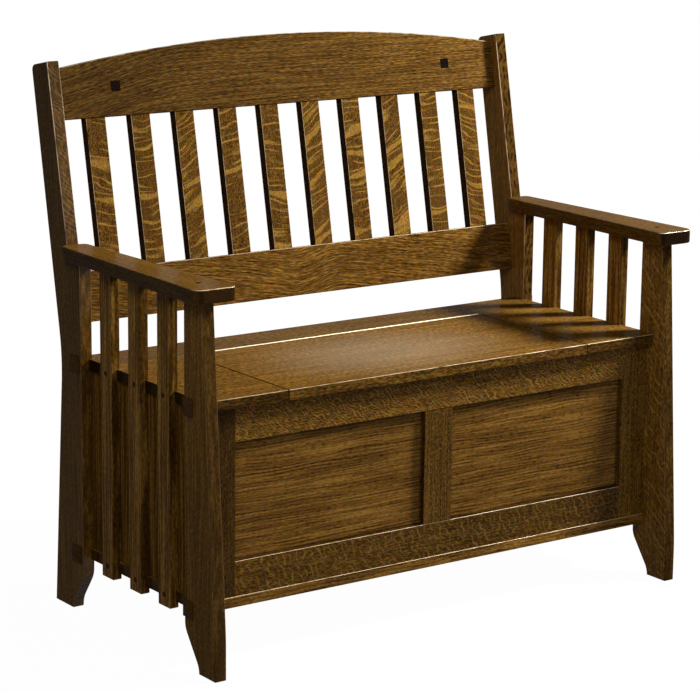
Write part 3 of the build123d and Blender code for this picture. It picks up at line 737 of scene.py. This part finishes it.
# %% The rails, stiles and panels
RAKE = math.radians(11.15)
RAKED_UP = (0, math.sin(RAKE), math.cos(RAKE))
RAKED_FRONT = (0, -math.cos(RAKE), math.sin(RAKE))
PANEL_SUNK = 0.007
boards = {
    # the crest is tinted darker to its left end: a painted shade added to the lamp's own falloff
    "crest_rail": dict(along=RIGHT, face=RAKED_FRONT, cut="rail", tint=(0.57, 0.99), gloss=0.08,
                       climbs=[(-0.80, -0.20, 0.12)]),
    "lower_back_rail": dict(along=RIGHT, face=RAKED_FRONT, cut="rail", tint=(0.97, 1.12),
                            climbs=[(-0.04, 0.09, 0.036), (-0.9, 0.9, -0.20)]),
    "front_top_rail": dict(along=RIGHT, face=FRONT, cut="top_fleck", tint=(1.12, 1.05)),
    "front_bottom_rail": dict(along=RIGHT, face=FRONT, cut="low_fleck", tint=(0.80, 0.58)),
    # the left stile is tinted darker as painted shade, the right stile lighter as painted light that lifts
    # the right leg's shadow
    "front_left_stile": dict(along=UP, face=FRONT, cut="stile", tint=(0.38, 0.38)),
    "front_right_stile": dict(along=UP, face=FRONT, cut="stile", tint=(1.0, 1.0)),
    "front_mullion": dict(along=UP, face=FRONT, cut="stile", tint=(0.69, 0.69)),
    "front_left_panel": dict(along=RIGHT, face=FRONT, cut="panel", tint=(1.32, 1.32), sunk=PANEL_SUNK),
    "front_right_panel": dict(along=RIGHT, face=FRONT, cut="panel", tint=(1.32, 1.32), sunk=PANEL_SUNK),
    "bottom_board": dict(along=RIGHT, face=UP, cut="panel", tint=(1.26, 1.26), edge=(1.0, 1.0), gloss=0.06),
    "chest_back_panel": dict(along=RIGHT, face=BACK, cut="panel", tint=(0.9, 0.9)),
}
print("boards so far:", len(boards))

# %% [markdown]
# ## Seat, legs, posts and arms
#
# These are the wide plain boards. The lid has more wax and a painted sheen in its middle, the legs have
# broad figure on their outer faces, and the posts carry the streaks. Left and right differ, since each
# side was cut from another board.

# %% The seat, legs, posts and arms
# the last number below is the share of painted sheen in the middle of the lid
boards["seat_lid"] = dict(along=RIGHT, face=UP, cut="seat", tint=(1.06, 1.06), edge=(0.84, 0.78), gloss=0.04,
                          sheen=0.0, polish=((-0.02, -0.01), (0.32, 0.19), 0.2, 0.14))
boards["seat_back_strip"] = dict(along=RIGHT, face=UP, cut="seat", tint=(0.72, 0.72), sheen=0.04)
boards["left_front_leg"] = dict(along=UP, face=LEFT, cut="leg", tint=(1.00, 1.32), edge=(0.46, 0.48),
                                arris=(0.0, 0.0), sheen=0.01, shine=0.05)
boards["right_front_leg"] = dict(along=UP, face=RIGHT, cut="flame", tint=(0.98, 1.50), edge=(0.36, 0.40),
                                 arris=(0.0, 0.03))
POST_LIE = (0, 0.06, 1)
PALE_STREAKS = dict(apart=0.0100, thick=0.0020, slope=1.0, strength=0.30, start=0.64, colour=WORN_AND_GLINT_EDGE,
                    reach=0.016)
DARK_STREAKS = dict(apart=0.045, thick=0.0200, slope=4.1, strength=0.95, start=0.3, colour=PORE_DARK,
                    reach=0.060)
boards["left_rear_post"] = dict(along=POST_LIE, face=LEFT, cut="leg", tint=(1.05, 0.52), edge=(1.0, 1.0),
                                arris=(-0.9, 1.0), shine=0.25, streaks=PALE_STREAKS)
boards["right_rear_post"] = dict(along=POST_LIE, face=RIGHT, cut="arm", tint=(1.50, 1.42), edge=(0.40, 0.30),
                                 arris=(0.0, 1.1), streaks=DARK_STREAKS)
boards["left_arm"] = dict(along=BACK, face=UP, cut="arm", tint=(0.92, 0.92), edge=(0.80, 0.40),
                          arris=(0.15, 0.0), gloss=0.05, sheen=0.04)
boards["right_arm"] = dict(along=BACK, face=UP, cut="arm", tint=(0.62, 0.60), edge=(0.43, 1.05),
                           arris=(0.15, 0.0), gloss=0.06, sheen=0.02)
print("boards so far:", len(boards))

# %% [markdown]
# ## Slats, and the boards that come in pairs
#
# The ten back slats are the showpieces, full of flakes, and the flakes of each lean their own way. The
# slats under the arms and the plain boards of the chest come in pairs, so a loop writes them.

# %% The slats and the pairs
FLAKES_LEAN = (-0.30, 0.05, 0.60, 0.25, -0.10, 0.65, 0.10, 0.60, 0.05, -0.35)
for place, lean in enumerate(FLAKES_LEAN, 1):
    # their narrow sides are tinted dark as painted shade between the slats, and their corners pale, partly
    # rubbing and partly a painted highlight
    boards["back_slat_%02d" % place] = dict(along=RAKED_UP, face=RAKED_FRONT, cut="slat", edge=(0.35, 0.35),
                                            arris=(0.9, 0.9), gloss=0.015, sheen=0.06, lean=lean)
for hand, out_way in (("left", LEFT), ("right", RIGHT)):
    boards[hand + "_side_panel"] = dict(along=UP, face=out_way, cut="post", tint=(1.15, 1.15))
    boards[hand + "_seat_end"] = dict(along=RIGHT, face=UP, cut="seat", sheen=0.0)
    for inner in ("_lid_bearer", "_lid_batten"):
        boards[hand + inner] = dict(along=BACK, face=UP, cut="panel", tint=(0.9, 0.9))
    for place in (1, 2, 3):
        boards[hand + "_side_slat_%d" % place] = dict(along=UP, face=out_way, cut="post", tint=(1.62, 1.62),
                                                      arris=(0.0, 0.0), sheen=0.02)


def dress(node, finish):
    """Gives a CAD node one finish."""
    settle[node].data.materials.clear()
    settle[node].data.materials.append(finish)


for seed, (node, board) in enumerate(sorted(boards.items())):
    dress(node, oak(node, seed=seed, **board))
print("boards dressed:", len(boards))

# %% [markdown]
# ## Caps, pegs, plugs and metal
#
# The caps and plugs are the same oak, much darker, because their end grain drinks the stain. The pegs in
# the crest are nearly black. The hinge is brass, and the screws are steel. All are too small to show a
# grain that runs one way, so a mottled colour is enough.

# %% The small parts
MOTTLE_STRETCH = (0.004, 0.004, 0.004)
MOTTLE_SPREAD = (0.3, 0.7)
SPOTS_ROUGH = 0.1
SMALL_WAX_ROUGHNESS = 0.25


def small(name, colour, rough, metal=0.0, mottle=0.25, coat=0.0):
    """A plain finish with a mottled colour, from colour * (1 - mottle) to colour * (1 + mottle)."""
    finish, wire, out = blank(name)
    coordinates = wire.add("ShaderNodeTexCoord", out=OBJECT_COORDINATES)
    fine = wire.vector("DIVIDE", {0: coordinates, 1: MOTTLE_STRETCH})
    spots = wire.add("ShaderNodeTexNoise", sockets={"Vector": fine, "Scale": 1.0, "Detail": 2.0})
    darker, lighter = ((*(part * factor for part in colour), 1) for factor in (1 - mottle, 1 + mottle))
    shade = wire.blend(spots.rise(*MOTTLE_SPREAD), darker, lighter)
    skin = wire.add("ShaderNodeBsdfPrincipled", sockets={
        "Base Color": shade, "Roughness": rough + spots * SPOTS_ROUGH, "Metallic": metal,
        "Specular IOR Level": 0.0, "Coat Weight": coat, "Coat Roughness": SMALL_WAX_ROUGHNESS})
    wire.tree.links.new(skin.socket, out.inputs["Surface"])
    return finish


cap_oak = small("stained_cap_oak", (0.092, 0.043, 0.012), 0.40, coat=0.04)
plug_oak = small("plug_oak", (0.040, 0.018, 0.005), 0.45, coat=0.05)
peg_oak = small("peg_oak", (0.010, 0.005, 0.004), 0.45, coat=0.05)
brass = small("hinge_brass", (0.50, 0.42, 0.28), 0.42, metal=1.0, mottle=0.1)
steel = small("grey_screw_steel", (0.45, 0.43, 0.40), 0.35, metal=1.0, mottle=0.1)
for node in sorted(set(settle) - set(boards)):
    if node.endswith("caps"):
        dress(node, cap_oak)
    elif node.endswith("plugs"):
        dress(node, plug_oak)
    elif node == "crest_pegs":
        dress(node, peg_oak)
    elif node.startswith("hinge"):
        dress(node, brass)
    else:
        dress(node, steel)
    print("small part:", node, settle[node].data.materials[0].name)

# %% [markdown]
# ## The box
#
# No mesh was touched, so the box of the dressed settle has to be the CAD box, and that box is written
# down.

# %% The box, and the end
print("width, depth and height, m:", [round(size, 3) for size in cad_box[1] - cad_box[0]])
